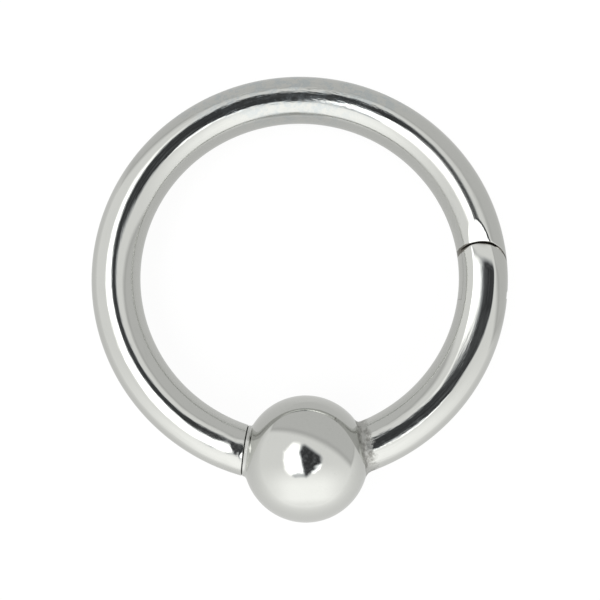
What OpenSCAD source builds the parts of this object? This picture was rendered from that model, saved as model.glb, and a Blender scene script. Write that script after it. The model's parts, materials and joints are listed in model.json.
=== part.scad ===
// Hinged captive bead ring: a round wire hoop closed by a short swinging
// segment that carries a fixed bead. It lies on its side, on the bead and
// on the wire opposite the bead, so the hoop leans a few degrees.
// Lengths are in millimetres and angles in degrees.

/* [Wire] */
// Diameter of the round wire
wire_d = 1.2; // [1:0.05:1.4]
// Inside diameter of the closed ring
inner_d = 8; // [7:0.5:12]

/* [Bead] */
// Diameter of the bead
bead_d = 3; // [2.5:0.1:4]
// How far the rim of the wire stub stands out of the bead on the closing side
stub_out = 0.07; // [0.04:0.01:0.3]
// Clearance between the closed stub and the end of the hoop
seat_gap = 0.03; // [0.02:0.005:0.06]
// Leg of the solder collar where the wire enters the bead
solder_leg = 0.12; // [0.05:0.01:0.25]

/* [Hinge] */
// Angle round the ring from the bead to the hinge pin
hinge_angle = 86; // [60:1:120]
// How far the pin sits inside the middle line of the wire
pin_inset = 0.13; // [0.05:0.01:0.16]
// Diameter of the hinge pin
pin_d = 0.4; // [0.3:0.02:0.5]
// Radial clearance of the pin in the tongue
pin_play = 0.02; // [0.01:0.005:0.04]
// How far the rounded hinge ends reach past the outside of the wire, about the pin
knuckle_over = 0.04; // [0.02:0.01:0.15]
// Clearance between a rounded hinge end and the hollow it turns in
hinge_gap = 0.05; // [0.03:0.01:0.08]
// Thickness of the middle tongue on the hoop
tongue_t = 0.5; // [0.4:0.02:0.6]
// Clearance on each side of the tongue in the fork
fork_gap = 0.03; // [0.02:0.005:0.05]
// Angle that the segment opens
open_angle = 65; // [40:1:65]

/* [Hidden] */
// Sides on a round form
$fn = 128;

wire_r = wire_d / 2;
bead_r = bead_d / 2;
pin_r = pin_d / 2;
ring_r = inner_d / 2 + wire_r;

// Angle at which the bead sits round the ring, at the front
bead_at = -90;

// Lean of the hoop as it lies, and how its middle stands over the origin
lean = asin((bead_r - wire_r) / (2 * ring_r));
middle_y = (bead_r - wire_r) / 2;
middle_z = (bead_r + wire_r) / 2;

// Flat faces of the closing seam, measured from the middle of the bead
entry = sqrt(bead_r * bead_r - wire_r * wire_r);
stub_face = entry + stub_out;
seat_face = stub_face + seat_gap;
// Angles round the ring from the bead to where the wire crosses those distances
entry_turn = 2 * asin(entry / (2 * ring_r));
seat_turn = 2 * asin(seat_face / (2 * ring_r));
// Extra turn of wire that the flat faces trim off
trim_turn = asin(2 * wire_r / ring_r);

// Solder collar: a slope from the bead to the wire, lapped into both by a share
collar_top = wire_r + solder_leg;
collar_in = sqrt(bead_r * bead_r - collar_top * collar_top);
collar_run = entry + solder_leg - collar_in;
collar_lap = 0.3;

// Hinge: the pin's place, the rounded ends and the hollows they turn in
pin_at = bead_at + hinge_angle;
pin_ring_r = ring_r - pin_inset;
knuckle_r = wire_r + pin_inset + knuckle_over;
hollow_r = knuckle_r + hinge_gap;
fork_slot = tongue_t + 2 * fork_gap;
// Turn of wire that each rounded end needs past the pin
knuckle_turn = asin(hollow_r / pin_ring_r);
// Where the outside of the wire stands from the pin, and how high it meets the hollow
outside = wire_r + pin_inset;
shoulder = sqrt(hollow_r * hollow_r - outside * outside);
// The hoop's outside sweeps down this far below the pin when the ring is open
sweep_depth = outside * sin(open_angle) - shoulder * cos(open_angle);
relief_depth = sweep_depth + hinge_gap;

// Cutters reach this far past the wire
past = wire_d;

// Leans the flat ring and sets it on the ground
module as_it_lies() {
    translate([0, middle_y, middle_z])
        rotate([-lean, 0, 0])
            children();
}

// Round wire bent to the ring, from one angle to another
module bent_wire(from_angle, to_angle) {
    rotate([0, 0, from_angle])
        rotate_extrude(angle = to_angle - from_angle)
            translate([ring_r, 0])
                circle(r = wire_r);
}

// Frame at the pin: x points out of the ring and y along the wire to the hoop
module at_pin() {
    rotate([0, 0, pin_at])
        translate([pin_ring_r, 0, 0])
            children();
}

// Frame at the bead: x points along the chord to a place this far round the ring
module from_bead(turn) {
    rotate([0, 0, bead_at])
        translate([ring_r, 0, 0])
            rotate([0, 0, turn / 2 + sign(turn) * 90])
                children();
}

// Disc about the pin, of a given height across the wire
module pin_disc(radius, height) {
    cylinder(r = radius, h = height, center = true);
}

// Space on one side of the pin that lies outside its rounded end
module round_off(side) {
    reach = hollow_r + past;
    difference() {
        translate([-reach, side > 0 ? 0 : -reach, -past])
            cube([2 * reach, reach, 2 * past]);
        pin_disc(knuckle_r, 4 * past);
    }
}

// The two hollows in the hoop that the cheeks of the fork turn in
module cheek_hollows() {
    for (side = [-1, 1])
        translate([0, 0, side * (tongue_t + past) / 2])
            pin_disc(hollow_r, past);
}

// Slot in the fork for the tongue, with its outer corner cut away for the swing
module tongue_slot() {
    pin_disc(hollow_r, fork_slot);
    translate([0, -relief_depth, -fork_slot / 2])
        cube([hollow_r, relief_depth, fork_slot]);
}

// Hoop: from the tongue at the hinge, over the top, to the dished closing end
module hoop() {
    color("silver")
        as_it_lies()
            difference() {
                bent_wire(pin_at - knuckle_turn, bead_at + 360 - seat_turn + trim_turn);
                at_pin() {
                    round_off(-1);
                    cheek_hollows();
                    pin_disc(pin_r + pin_play, 2 * past);
                }
                // Flat closing face across the chord, dished for the bead's crown
                from_bead(-seat_turn)
                    translate([seat_face - 2 * past, -past, -past])
                        cube([2 * past, 2 * past, 2 * past]);
                from_bead(-seat_turn)
                    sphere(r = bead_r + seat_gap);
            }
}

// Wire of the segment: the forked end at the hinge, to the stub past the bead
module segment_wire() {
    difference() {
        bent_wire(bead_at - seat_turn - trim_turn, pin_at + knuckle_turn);
        at_pin() {
            round_off(1);
            tongue_slot();
            pin_disc(pin_r, 2 * past);
        }
        from_bead(-seat_turn)
            translate([stub_face, -past, -past])
                cube([2 * past, 2 * past, 2 * past]);
    }
}

// Sloped collar of solder round the wire where it enters the bead
module solder_collar() {
    from_bead(entry_turn)
        translate([collar_in - collar_lap * collar_run, 0, 0])
            rotate([0, 90, 0])
                cylinder(r1 = collar_top + collar_lap * solder_leg,
                    r2 = wire_r - collar_lap * solder_leg,
                    h = collar_run * (1 + 2 * collar_lap));
}

// Swinging segment: forked wire with the bead soldered on, one solid
module bead_segment() {
    color("gainsboro")
        as_it_lies()
            union() {
                segment_wire();
                from_bead(entry_turn)
                    sphere(r = bead_r);
                solder_collar();
            }
}

// Hinge pin: pressed into the fork and ground flush with the wire
module hinge_pin() {
    color("darkgray")
        as_it_lies()
            intersection() {
                at_pin()
                    pin_disc(pin_r, 2 * past);
                bent_wire(pin_at - knuckle_turn, pin_at + knuckle_turn);
            }
}

hoop();
bead_segment();
hinge_pin();
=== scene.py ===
# Hinged captive bead ring of polished steel, lying on its bead and on the wire opposite.
# Lengths are in metres, angles in radians unless a name says degrees.

import json
import math

import bmesh
import bpy
from bpy.props import FloatProperty, FloatVectorProperty, IntProperty, PointerProperty
from mathutils import Matrix, Vector


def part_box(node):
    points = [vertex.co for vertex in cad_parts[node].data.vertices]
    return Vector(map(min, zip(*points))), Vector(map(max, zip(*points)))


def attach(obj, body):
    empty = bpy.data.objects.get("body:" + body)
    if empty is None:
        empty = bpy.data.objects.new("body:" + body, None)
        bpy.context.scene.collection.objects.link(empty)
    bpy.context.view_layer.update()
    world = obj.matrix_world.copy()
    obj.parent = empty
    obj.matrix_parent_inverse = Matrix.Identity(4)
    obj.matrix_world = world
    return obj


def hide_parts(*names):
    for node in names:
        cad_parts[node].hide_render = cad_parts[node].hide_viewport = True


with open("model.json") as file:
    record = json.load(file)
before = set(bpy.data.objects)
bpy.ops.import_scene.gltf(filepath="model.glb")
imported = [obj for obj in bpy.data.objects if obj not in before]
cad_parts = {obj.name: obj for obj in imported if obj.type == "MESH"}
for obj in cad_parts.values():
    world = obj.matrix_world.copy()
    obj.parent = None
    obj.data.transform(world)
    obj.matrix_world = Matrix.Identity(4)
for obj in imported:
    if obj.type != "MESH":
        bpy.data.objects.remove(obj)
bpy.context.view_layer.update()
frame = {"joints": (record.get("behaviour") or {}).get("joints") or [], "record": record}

bl_info = {
    "name": "Hinged captive bead ring",
    "version": (1, 0, 0),
    "blender": (4, 5, 0),
    "location": "3D View > Sidebar > Bead Ring",
    "description": "Dresses the packed ring with fine meshes, polished steel and a small studio",
    "category": "Object",
}

MM = 0.001

# What the frame says about the ring
JOINT = frame["joints"][0]
AXIS = Vector(JOINT["axis"]).normalized()
PIN_POINT = Vector(JOINT["pos_m"])
LEAN = math.atan2(AXIS.y, AXIS.z)
WIRE_MOUNT = frame["record"]["mounts"][0]
BEAD_LOW, BEAD_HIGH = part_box("bead_segment")


def tenth(length):
    """A length read from a box, to the nearest tenth of a millimetre."""
    return round(length / MM, 1) * MM


WIRE_R = WIRE_MOUNT["dims"]["r_mm"] * MM
BEAD_R = tenth(BEAD_HIGH.z - BEAD_LOW.z) / 2
RING_R = tenth((BEAD_R - WIRE_R) / (2 * math.sin(LEAN)))
RING_MIDDLE = Vector((0.0, (BEAD_R - WIRE_R) / 2, (BEAD_R + WIRE_R) / 2))
RING_TO_ROW = Matrix.Translation(RING_MIDDLE) @ Matrix.Rotation(-LEAN, 4, "X")

# The pin and the bead in the flat ring's own frame, where the ring's axis is +Z
PIN_FLAT = RING_TO_ROW.inverted() @ PIN_POINT
PIN_AT = math.atan2(PIN_FLAT.y, PIN_FLAT.x)
PIN_RING_R = math.hypot(PIN_FLAT.x, PIN_FLAT.y)
BEAD_AT = -math.pi / 2
BEAD_MIDDLE = Vector((0.0, -RING_R, 0.0))
SEAT_TURN = 2 * math.asin(BEAD_R / (2 * RING_R))
# Distance from the bead's middle, along a chord, at which the wire's surface enters the bead
ENTRY = math.sqrt(BEAD_R**2 - WIRE_R**2)

# Polish of the segment towards the hinge. First a slightly domed flat: its middle round the wire,
# the share of its depth that is cut, how far from the pin it is full and how soft its edges are
FLAT_AT = math.radians(99.6)
FLAT_SHARE = 0.8
FLAT_FULL = 0.7 * MM
FLAT_SOFT = 0.004 * MM
# Then a rounded end: how far it reaches round the wire and along it
END_HALF = math.radians(64)
END_RUN = 0.68 * MM
# The end is burnished towards the hollow all round but on the ring's inner side, and once more
# on its outer side, both by the angle from the outermost line
NARROWED_BY = 0.014 * MM
NARROWED_FULL = math.radians(112)
NARROWED_NONE = math.radians(142)
CLOSED_BY = 0.015 * MM
CLOSED_FULL = math.radians(42)
CLOSED_NONE = math.radians(72)
# The flat facet of the hoop beside the hinge gap: its middle round the wire, how soft its edges
# are and how its depth bulges as it fades
FACET_AT = math.radians(103.2)
FACET_SOFT = 0.0015 * MM
FACET_BULGE = 0.5
# No flat reaches further round the wire than this from its middle
FLAT_HALF = math.radians(60)
# Polish of the closing end, round the wire: its middle and how far it reaches
SEAT_DISH_AT = math.radians(84)
SEAT_HALF = math.radians(48)
# Along the wire: a shallow trough, with its distance from the seam and its reach towards the
# seam and away from it, and then a rounded end
TROUGH_AT = 0.66 * MM
TROUGH_NEAR = 0.46 * MM
TROUGH_FAR = 1.1 * MM
ROUND_RUN = 0.3 * MM
# Plain wire starts this far past the polished stretches and past the solder
POLISH_SPARE = 0.12 * MM
SOLDER_SPARE = 0.12 * MM
# A rim is fully rounded where the wire stands this many times the rounding above the slot
RIM_FADE = 4
# Rounded nook of the stub against the bead: its reach along the wire and over the bead
NOOK_WIRE = 0.04 * MM
NOOK_BEAD = 0.09 * MM
# Solder fillet: handles of its curve, a small turn to find the wire's direction there, and
# waves of its leg round the wire, each with its count, height and phase
FILLET_HANDLE = 0.75
FILLET_STEP = 1e-4
LEG_WAVES = ((3, 0.22, 0.7), (7, 0.12, 2.1))
# Hinge pin in its blind bores
PIN_SEAT = 0.42 * MM
PIN_END_GAP = 0.01 * MM
PIN_CHAMFER = 0.03 * MM
PIN_SIDES = 64

# Fineness of the meshes, in rows of faces
RIM_STEPS = 4
FLOOR_STEPS = 40
CORNER_STEPS = 4
FLAT_ROWS = 6
WALL_ROWS = 10
FACE_ROWS = 4
DISH_ROWS = 8
BEAD_ROWS = 150
FILLET_ROWS = 8
# Edges sharper than this stay hard, closer points than this are merged and smaller faces dropped
SHARP = math.radians(32)
MERGED = 1e-4 * MM
DROPPED = 1e-5 * MM
# Places in a piece's list of materials, after the polished wire
CUT = 1
BALL = 2
# A face is the bead's when its middle is nearer than the bead's radius and this share of it
BALL_SPARE = 1e-3


# Properties: sizes, looks and the studio


def length_field(name, description, size_mm):
    """A length that a user may change, with its default given in millimetres."""
    return FloatProperty(
        name=name, description=description, default=size_mm * MM, unit="LENGTH", precision=6
    )


def colour_field(name, description, shade):
    """A colour that a user may change."""
    return FloatVectorProperty(
        name=name, description=description, default=(*shade, 1.0), subtype="COLOR", size=4
    )


def share_field(name, description, default):
    """A share from 0 to 1 that a user may change."""
    return FloatProperty(
        name=name, description=description, default=default, min=0.0, max=1.0, subtype="FACTOR"
    )


class RingSizes(bpy.types.PropertyGroup):
    """Sizes of the seams, the hinge and the solder, and how finely the wire is meshed."""

    stub_out: length_field("Stub out", "How far the rim of the stub stands out of the bead", 0.08)
    seat_gap: length_field("Seat gap", "Clearance between the stub and the end of the hoop", 0.02)
    solder_leg: length_field("Solder leg", "Leg of the solder fillet between wire and bead", 0.12)
    knuckle_r: length_field("Knuckle radius", "Radius of the rounded hinge ends about the pin", 0.77)
    hinge_gap: length_field("Hinge gap", "Widest clearance between a rounded end and its hollow", 0.038)
    tongue_t: length_field("Tongue", "Thickness of the middle tongue on the hoop", 0.5)
    tongue_gap: length_field("Tongue gap", "Clearance between the tongue's end and its slot", 0.004)
    fork_gap: length_field("Fork gap", "Clearance on each side of the tongue", 0.005)
    relief: length_field("Relief", "Depth of the slot's outer corner below the pin", 0.554)
    pin_r: length_field("Pin radius", "Radius of the hinge pin", 0.2)
    pin_play: length_field("Pin play", "Radial clearance of the pin in the tongue", 0.02)
    rim_round: length_field("Rim rounding", "How far a cut rim is rounded by polishing", 0.02)
    flat_depth: length_field("Hinge flat", "Depth of the domed flat that leads up to the hinge", 0.06)
    flat_run: length_field("Flat run", "How far along the segment the flat reaches from the pin", 3.4)
    knuckle_round: length_field("Knuckle rounding", "How far the segment's end is rounded off", 0.08)
    facet_depth: length_field("Facet depth", "Depth of the flat facet at the hinge gap", 0.058)
    facet_run: length_field("Facet run", "How far along the wire the facet reaches", 0.6)
    trough: length_field("Seat trough", "Depth of the shallow trough before the closing end", 0.019)
    end_round: length_field("Seat rounding", "How far the closing end is rounded off", 0.04)
    step: length_field("Step", "Length of one mesh step along the wire", 0.045)
    sides: IntProperty(
        name="Sides",
        description="Sides round the wire, a multiple of four",
        default=128,
        min=64,
        max=160,
    )


class SteelLook(bpy.types.PropertyGroup):
    """Colours and polish of the steel."""

    steel: colour_field("Steel", "Colour of the polished steel", (0.63, 0.636, 0.615))
    steel_dark: colour_field("Worn steel", "Colour of the thinly polished steel", (0.55, 0.56, 0.535))
    steel_blue: colour_field("Blue-grey steel", "Colour of patches opposite the bead", (0.52, 0.565, 0.585))
    # The cut faces' colour, darker than the polished steel's, is partly painted shade for the narrow gaps
    shaded_cut_steel: colour_field("Shaded cut steel", "Colour of the faces in the hinge and seam", (0.32, 0.315, 0.30))
    heat: colour_field("Heat marks", "Colour of the mottling by the solder", (0.16, 0.155, 0.14))
    gap_dark: colour_field("Gap darkening", "Colour of the dark band at the hinge gap", (0.10, 0.085, 0.065))
    polish: share_field("Polish roughness", "Lowest roughness of the polished wire", 0.035)
    polish_bead: share_field("Bead roughness", "Lowest roughness of the polished bead", 0.06)


class StudioLook(bpy.types.PropertyGroup):
    """The camera and the light of the small studio."""

    lens_mm: FloatProperty(
        name="Lens", description="Focal length on a 36 mm sensor", default=51.15, unit="CAMERA"
    )
    sky: FloatProperty(name="Sky", description="Brightness of the light tent", default=1.0)
    floor: colour_field("Floor", "Colour of the pale floor", (0.92, 0.92, 0.915))


def sizes():
    """The sizes as the user has set them."""
    return bpy.context.scene.ring_sizes


# Places on and in the wire, in the flat ring's frame


def mix(a, b, t):
    """From a at t = 0 to b at t = 1."""
    return a + (b - a) * t


def even_angles(count):
    """Angles spread evenly round a circle."""
    return [2 * math.pi * i / count for i in range(count)]


def out_at(around):
    """Distance from the ring's axis at an angle round the wire."""
    return RING_R + WIRE_R * math.cos(around)


def off_side(around, middle=0.0):
    """How far an angle round the wire is from a middle, on the front and alike on the back."""
    return abs(abs(math.remainder(around, 2 * math.pi)) - middle)


def fade(distance, full, none):
    """1 up to one distance and 0 past another, smooth between them."""
    t = min(1.0, max(0.0, (distance - full) / (none - full)))
    return 1 - t * t * (3 - 2 * t)


def dish_share(around, middle, half):
    """Share of a polished dish's depth at an angle round the wire."""
    edge = math.cos(half)
    return max(0.0, (math.cos(off_side(around, middle)) - edge) / (1 - edge)) ** 2


def facet_drop(around, middle, depth, soft):
    """How far a flat facet of a given depth lies below the round wire, with softened edges."""
    off = off_side(around, middle)
    if depth <= 0 or off > FLAT_HALF:
        return 0.0
    drop = WIRE_R - (WIRE_R - depth) / math.cos(off)
    if drop <= -soft:
        return 0.0
    if drop < soft:
        return (drop + soft) ** 2 / (4 * soft)
    return drop


def hinge_drop(turn, around):
    """How far polishing has drawn the wire down on either side of the hinge gap."""
    given = sizes()
    ahead = out_at(around) * math.cos(turn - PIN_AT)
    if ahead <= 0:
        return 0.0
    gap_r = given.knuckle_r + given.hinge_gap / 2
    gap_y = math.sqrt(max(0.0, gap_r**2 - (ahead - PIN_RING_R) ** 2))
    far = out_at(around) * math.sin(turn - PIN_AT) - gap_y
    if far < 0:
        # On the segment: the domed flat, then the rounded end
        depth = given.flat_depth * fade(RING_R * (PIN_AT - turn), FLAT_FULL, given.flat_run)
        drop = FLAT_SHARE * facet_drop(around, FLAT_AT, depth, min(FLAT_SOFT, depth))
        end = max(0.0, 1 + far / END_RUN) ** 2
        return drop + given.knuckle_round * end * dish_share(around, math.pi / 2, END_HALF)
    # On the hoop: the flat facet
    part = min(1.0, far / given.facet_run)
    depth = given.facet_depth * (1 - part) * (1 + FACET_BULGE * part)
    return facet_drop(around, FACET_AT, depth, FACET_SOFT)


def seat_drop(turn, around):
    """How far polishing has drawn the wire down towards the closing seam."""
    given = sizes()
    far = RING_R * abs(turn - (BEAD_AT + 2 * math.pi - SEAT_TURN))
    reach = TROUGH_NEAR if far < TROUGH_AT else TROUGH_FAR
    trough = max(0.0, 1 - ((far - TROUGH_AT) / reach) ** 2) ** 2
    end = max(0.0, 1 - far / ROUND_RUN) ** 2
    return (given.trough * trough + given.end_round * end) * dish_share(around, SEAT_DISH_AT, SEAT_HALF)


def wire_point(turn, around):
    """Point of the wire's surface at an angle round the ring and an angle round the wire."""
    radius = WIRE_R - (hinge_drop(turn, around) + seat_drop(turn, around))
    out = RING_R + radius * math.cos(around)
    return Vector((out * math.cos(turn), out * math.sin(turn), radius * math.sin(around)))


def turn_on_circle(around, radius, side):
    """Angle round the ring where the wire's surface meets a cylinder about the pin."""
    out = out_at(around)
    cosine = (out * out + PIN_RING_R**2 - radius * radius) / (2 * out * PIN_RING_R)
    return PIN_AT + side * math.acos(cosine)


def turn_on_plane(around, heading, reach, side):
    """Angle round the ring where the wire's surface meets a plane across a chord from the bead."""
    rest = reach - RING_R * math.sin(heading)
    return heading + side * math.acos(rest / out_at(around))


def turn_on_bead(around, side):
    """Angle round the ring where the wire's surface meets the bead."""
    out = out_at(around)
    high = WIRE_R * math.sin(around)
    cosine = (out * out + RING_R**2 + high * high - BEAD_R**2) / (2 * out * RING_R)
    return BEAD_AT + side * math.acos(cosine)


def from_pin(point):
    """A flat-frame point as x out of the ring, y along the wire and z, from the pin."""
    return Matrix.Rotation(-PIN_AT, 3, "Z") @ point - Vector((PIN_RING_R, 0, 0))


def to_flat(point):
    """The reverse of from_pin."""
    return Matrix.Rotation(PIN_AT, 3, "Z") @ (point + Vector((PIN_RING_R, 0, 0)))


def about_pin(radius, turn, high):
    """A point at a radius about the pin, in the pin's frame."""
    return Vector((radius * math.cos(turn), radius * math.sin(turn), high))


def angle_of(point):
    """The angle about the pin of a point in the pin's frame."""
    return math.atan2(point.y, point.x)


def slot_columns(half_height):
    """How many columns from the outermost one to the slot's edge, for a half height."""
    edge = math.asin(half_height / WIRE_R)
    return round(edge / (2 * math.pi / sizes().sides))


def slot_angles(half_height):
    """Column angles round the wire, shifted a little so that columns run along the slot's edges."""
    count = sizes().sides
    quarter = count // 4
    edge = math.asin(half_height / WIRE_R)
    near = slot_columns(half_height)
    first = []
    for i in range(quarter + 1):
        if i <= near:
            first.append(edge * i / near)
        else:
            first.append(edge + (math.pi / 2 - edge) * (i - near) / (quarter - near))
    half = first + [math.pi - a for a in reversed(first[:-1])]
    return half[:-1] + [a + math.pi for a in half[:-1]]


# Mesh building: grids of points that share their border points


class Body:
    """A closed mesh that is put together from grids of points in the flat frame."""

    def __init__(self):
        self.mesh = bmesh.new()

    def grid(self, rows, closed=False, material=0):
        """Faces between the rows. Each row is a list of points, and closed joins its ends."""
        made = [[self.mesh.verts.new(p) for p in row] for row in rows]
        count = len(rows[0])
        last = count if closed else count - 1
        for low, high in zip(made, made[1:]):
            for i in range(last):
                j = (i + 1) % count
                face = self.mesh.faces.new((low[i], low[j], high[j], high[i]))
                face.material_index = material

    def add_mesh(self, data):
        """Adds the faces of a mesh made elsewhere, in the flat frame, in the first material."""
        before = len(self.mesh.faces)
        self.mesh.from_mesh(data)
        self.mesh.faces.ensure_lookup_table()
        for face in self.mesh.faces[before:]:
            face.material_index = 0

    def finish(self, name, materials, body, node):
        """Merges the grids' borders, turns every face outwards and lays the ring down."""
        mesh = self.mesh
        bmesh.ops.remove_doubles(mesh, verts=mesh.verts, dist=MERGED)
        bmesh.ops.dissolve_degenerate(mesh, edges=mesh.edges, dist=DROPPED)
        bmesh.ops.recalc_face_normals(mesh, faces=mesh.faces)
        loose = [e for e in mesh.edges if len(e.link_faces) != 2]
        if loose:
            raise RuntimeError(f"{name} has {len(loose)} open edges, one at {loose[0].verts[0].co}")
        for edge in mesh.edges:
            edge.smooth = edge.calc_face_angle(0.0) < SHARP
        for face in mesh.faces:
            face.smooth = True
        mesh.transform(RING_TO_ROW)
        data = bpy.data.meshes.new(name)
        mesh.to_mesh(data)
        mesh.free()
        for material in materials:
            data.materials.append(material)
        piece = bpy.data.objects.new(name, data)
        bpy.context.scene.collection.objects.link(piece)
        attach(piece, body)
        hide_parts(node)
        return piece


def bend(a, corner, b):
    """Points of a rounded corner from a to b, without a itself."""
    line = []
    for i in range(1, RIM_STEPS + 1):
        t = i / RIM_STEPS
        line.append(a * (1 - t) ** 2 + corner * (2 * t * (1 - t)) + b * t * t)
    return line


# Node trees: one helper for shaders and for Geometry Nodes

RISE = (0.0, 1.0)
FALL = (1.0, 0.0)


class Nodes:
    """A small helper that adds nodes and links to one tree."""

    def __init__(self, tree):
        self.nodes = tree.nodes
        self.links = tree.links

    def put(self, socket, value):
        """Links a socket's value, or sets a plain one."""
        if isinstance(value, bpy.types.NodeSocket):
            self.links.new(value, socket)
        else:
            socket.default_value = value

    def node(self, kind, **given):
        """Adds a node and sets its settings."""
        made = self.nodes.new(kind)
        for name, value in given.items():
            setattr(made, name, value)
        return made

    def math(self, operation, a, b=0.0, c=0.0, clamp=False):
        """The result of one sum or function."""
        made = self.node("ShaderNodeMath", operation=operation, use_clamp=clamp)
        for socket, value in zip(made.inputs, (a, b, c)):
            self.put(socket, value)
        return made.outputs[0]

    def plus(self, a, b):
        return self.math("ADD", a, b)

    def minus(self, a, b):
        return self.math("SUBTRACT", a, b)

    def times(self, a, b):
        return self.math("MULTIPLY", a, b)

    def over(self, a, b):
        return self.math("DIVIDE", a, b)

    def larger(self, a, b):
        return self.math("MAXIMUM", a, b)

    def times_plus(self, a, b, c, clamp=False):
        return self.math("MULTIPLY_ADD", a, b, c, clamp)

    def radius(self, x, y):
        """Distance from the origin of a place that is given by two coordinates."""
        return self.math("SQRT", self.plus(self.times(x, x), self.times(y, y)))

    def noise(self, vector, name):
        """Soft noise, with the settings that the table of noises gives it."""
        scale, detail, rough, seed = NOISES[name]
        made = self.node("ShaderNodeTexNoise", noise_dimensions="4D")
        self.put(made.inputs["Vector"], vector)
        made.inputs["W"].default_value = seed
        made.inputs["Scale"].default_value = scale
        made.inputs["Detail"].default_value = detail
        made.inputs["Roughness"].default_value = rough
        return made.outputs["Fac"]

    def fit(self, value, span, to=RISE, smooth=True):
        """Fits a value from one span into another, held at both ends."""
        curve = "SMOOTHSTEP" if smooth else "LINEAR"
        made = self.node("ShaderNodeMapRange", interpolation_type=curve)
        self.put(made.inputs["Value"], value)
        for name, end in zip(("From Min", "From Max", "To Min", "To Max"), span + to):
            made.inputs[name].default_value = end
        return made.outputs["Result"]

    def mix_colour(self, factor, a, b):
        """One colour at factor 0 and the other at 1."""
        made = self.node("ShaderNodeMix", data_type="RGBA")
        self.put(made.inputs["Factor"], factor)
        self.put(made.inputs[6], a)
        self.put(made.inputs[7], b)
        return made.outputs[2]

    def mix_shader(self, factor, a, b):
        """One shader at factor 0 and the other at 1."""
        made = self.node("ShaderNodeMixShader")
        for socket, value in zip(made.inputs, (factor, a, b)):
            self.put(socket, value)
        return made.outputs[0]

    def glow(self, kind, colour, strength):
        """A shader that gives light by itself, such as an emission."""
        made = self.node(kind)
        self.put(made.inputs["Color"], colour)
        self.put(made.inputs["Strength"], strength)
        return made.outputs[0]

    def show(self, kind, shader):
        """Ends the tree in an output that shows a shader."""
        self.put(self.node(kind).inputs["Surface"], shader)

    def combine(self, x, y, z):
        made = self.node("ShaderNodeCombineXYZ")
        for socket, value in zip(made.inputs, (x, y, z)):
            self.put(socket, value)
        return made.outputs[0]

    def separate(self, vector):
        made = self.node("ShaderNodeSeparateXYZ")
        self.put(made.inputs[0], vector)
        return made.outputs


# Geometry Nodes: the plain run of bent wire


def wire_run_tree():
    """A tree that bends a round wire from one angle to another, from named sizes."""
    tree = bpy.data.node_groups.new("bent_wire_run", "GeometryNodeTree")
    inputs = {
        "Ring radius": "NodeSocketFloat",
        "Wire radius": "NodeSocketFloat",
        "First angle": "NodeSocketFloat",
        "Last angle": "NodeSocketFloat",
        "Rows": "NodeSocketInt",
        "Sides": "NodeSocketInt",
        "Metal": "NodeSocketMaterial",
    }
    for name, kind in inputs.items():
        tree.interface.new_socket(name, in_out="INPUT", socket_type=kind)
    tree.interface.new_socket("Geometry", in_out="OUTPUT", socket_type="NodeSocketGeometry")
    run = Nodes(tree)
    given = run.node("NodeGroupInput").outputs
    sheet = run.node("GeometryNodeMeshGrid")
    run.put(sheet.inputs["Vertices X"], given["Rows"])
    run.put(sheet.inputs["Vertices Y"], run.plus(given["Sides"], 1.0))
    # The sheet is 1 by 1 about its middle: x becomes the angle round the ring, y round the wire
    x, y, _ = run.separate(run.node("GeometryNodeInputPosition").outputs[0])
    span = run.minus(given["Last angle"], given["First angle"])
    turn = run.times_plus(run.plus(x, 0.5), span, given["First angle"])
    around = run.times(run.plus(y, 0.5), 2 * math.pi)
    wire_out = run.times(run.math("COSINE", around), given["Wire radius"])
    out = run.plus(wire_out, given["Ring radius"])
    place = run.combine(
        run.times(out, run.math("COSINE", turn)),
        run.times(out, run.math("SINE", turn)),
        run.times(run.math("SINE", around), given["Wire radius"]),
    )
    bent = run.node("GeometryNodeSetPosition")
    run.put(bent.inputs["Geometry"], sheet.outputs["Mesh"])
    run.put(bent.inputs["Position"], place)
    real = run.node("GeometryNodeRealizeInstances")
    run.put(real.inputs[0], bent.outputs[0])
    metal = run.node("GeometryNodeSetMaterial")
    run.put(metal.inputs["Geometry"], real.outputs[0])
    run.put(metal.inputs["Material"], given["Metal"])
    result = run.node("NodeGroupOutput")
    run.put(result.inputs[0], metal.outputs[0])
    return tree


def bent_wire(first, last, metal):
    """The plain run of wire between two angles round the ring, as mesh data."""
    tree = bpy.data.node_groups.get("bent_wire_run") or wire_run_tree()
    given = sizes()
    rows = max(2, round(abs(last - first) * RING_R / given.step) + 1)
    values = {
        "Ring radius": RING_R,
        "Wire radius": WIRE_R,
        "First angle": first,
        "Last angle": last,
        "Rows": rows,
        "Sides": given.sides,
        "Metal": metal,
    }
    holder = bpy.data.objects.new("wire_run", bpy.data.meshes.new("wire_run"))
    bpy.context.scene.collection.objects.link(holder)
    modifier = holder.modifiers.new("Bent wire", "NODES")
    modifier.node_group = tree
    for item in tree.interface.items_tree:
        if item.item_type == "SOCKET" and item.in_out == "INPUT":
            modifier[item.identifier] = values[item.name]
    shaped = holder.evaluated_get(bpy.context.evaluated_depsgraph_get())
    data = bpy.data.meshes.new_from_object(shaped)
    bpy.data.objects.remove(holder)
    return data


# Stretches of wire between two sets of angles


def wire_rows(first, last, around_first, around_last):
    """Rows on the wire's surface from one curve of angles round the ring to another, enough of
    them for the longest column."""
    longest = max(abs(a - b) for a, b in zip(first, last))
    count = max(2, math.ceil(longest * RING_R / sizes().step))
    rows = []
    for i in range(count + 1):
        t = i / count
        row = []
        for a, b, va, vb in zip(first, last, around_first, around_last):
            row.append(wire_point(mix(a, b, t), mix(va, vb, t)))
        rows.append(row)
    return rows


def hinge_start(side):
    """Angle at which the plain wire gives way to a hinge end."""
    given = sizes()
    if side > 0:
        return PIN_AT + (given.knuckle_r + given.facet_run + POLISH_SPARE) / PIN_RING_R
    return PIN_AT - (given.flat_run + POLISH_SPARE) / RING_R


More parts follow.
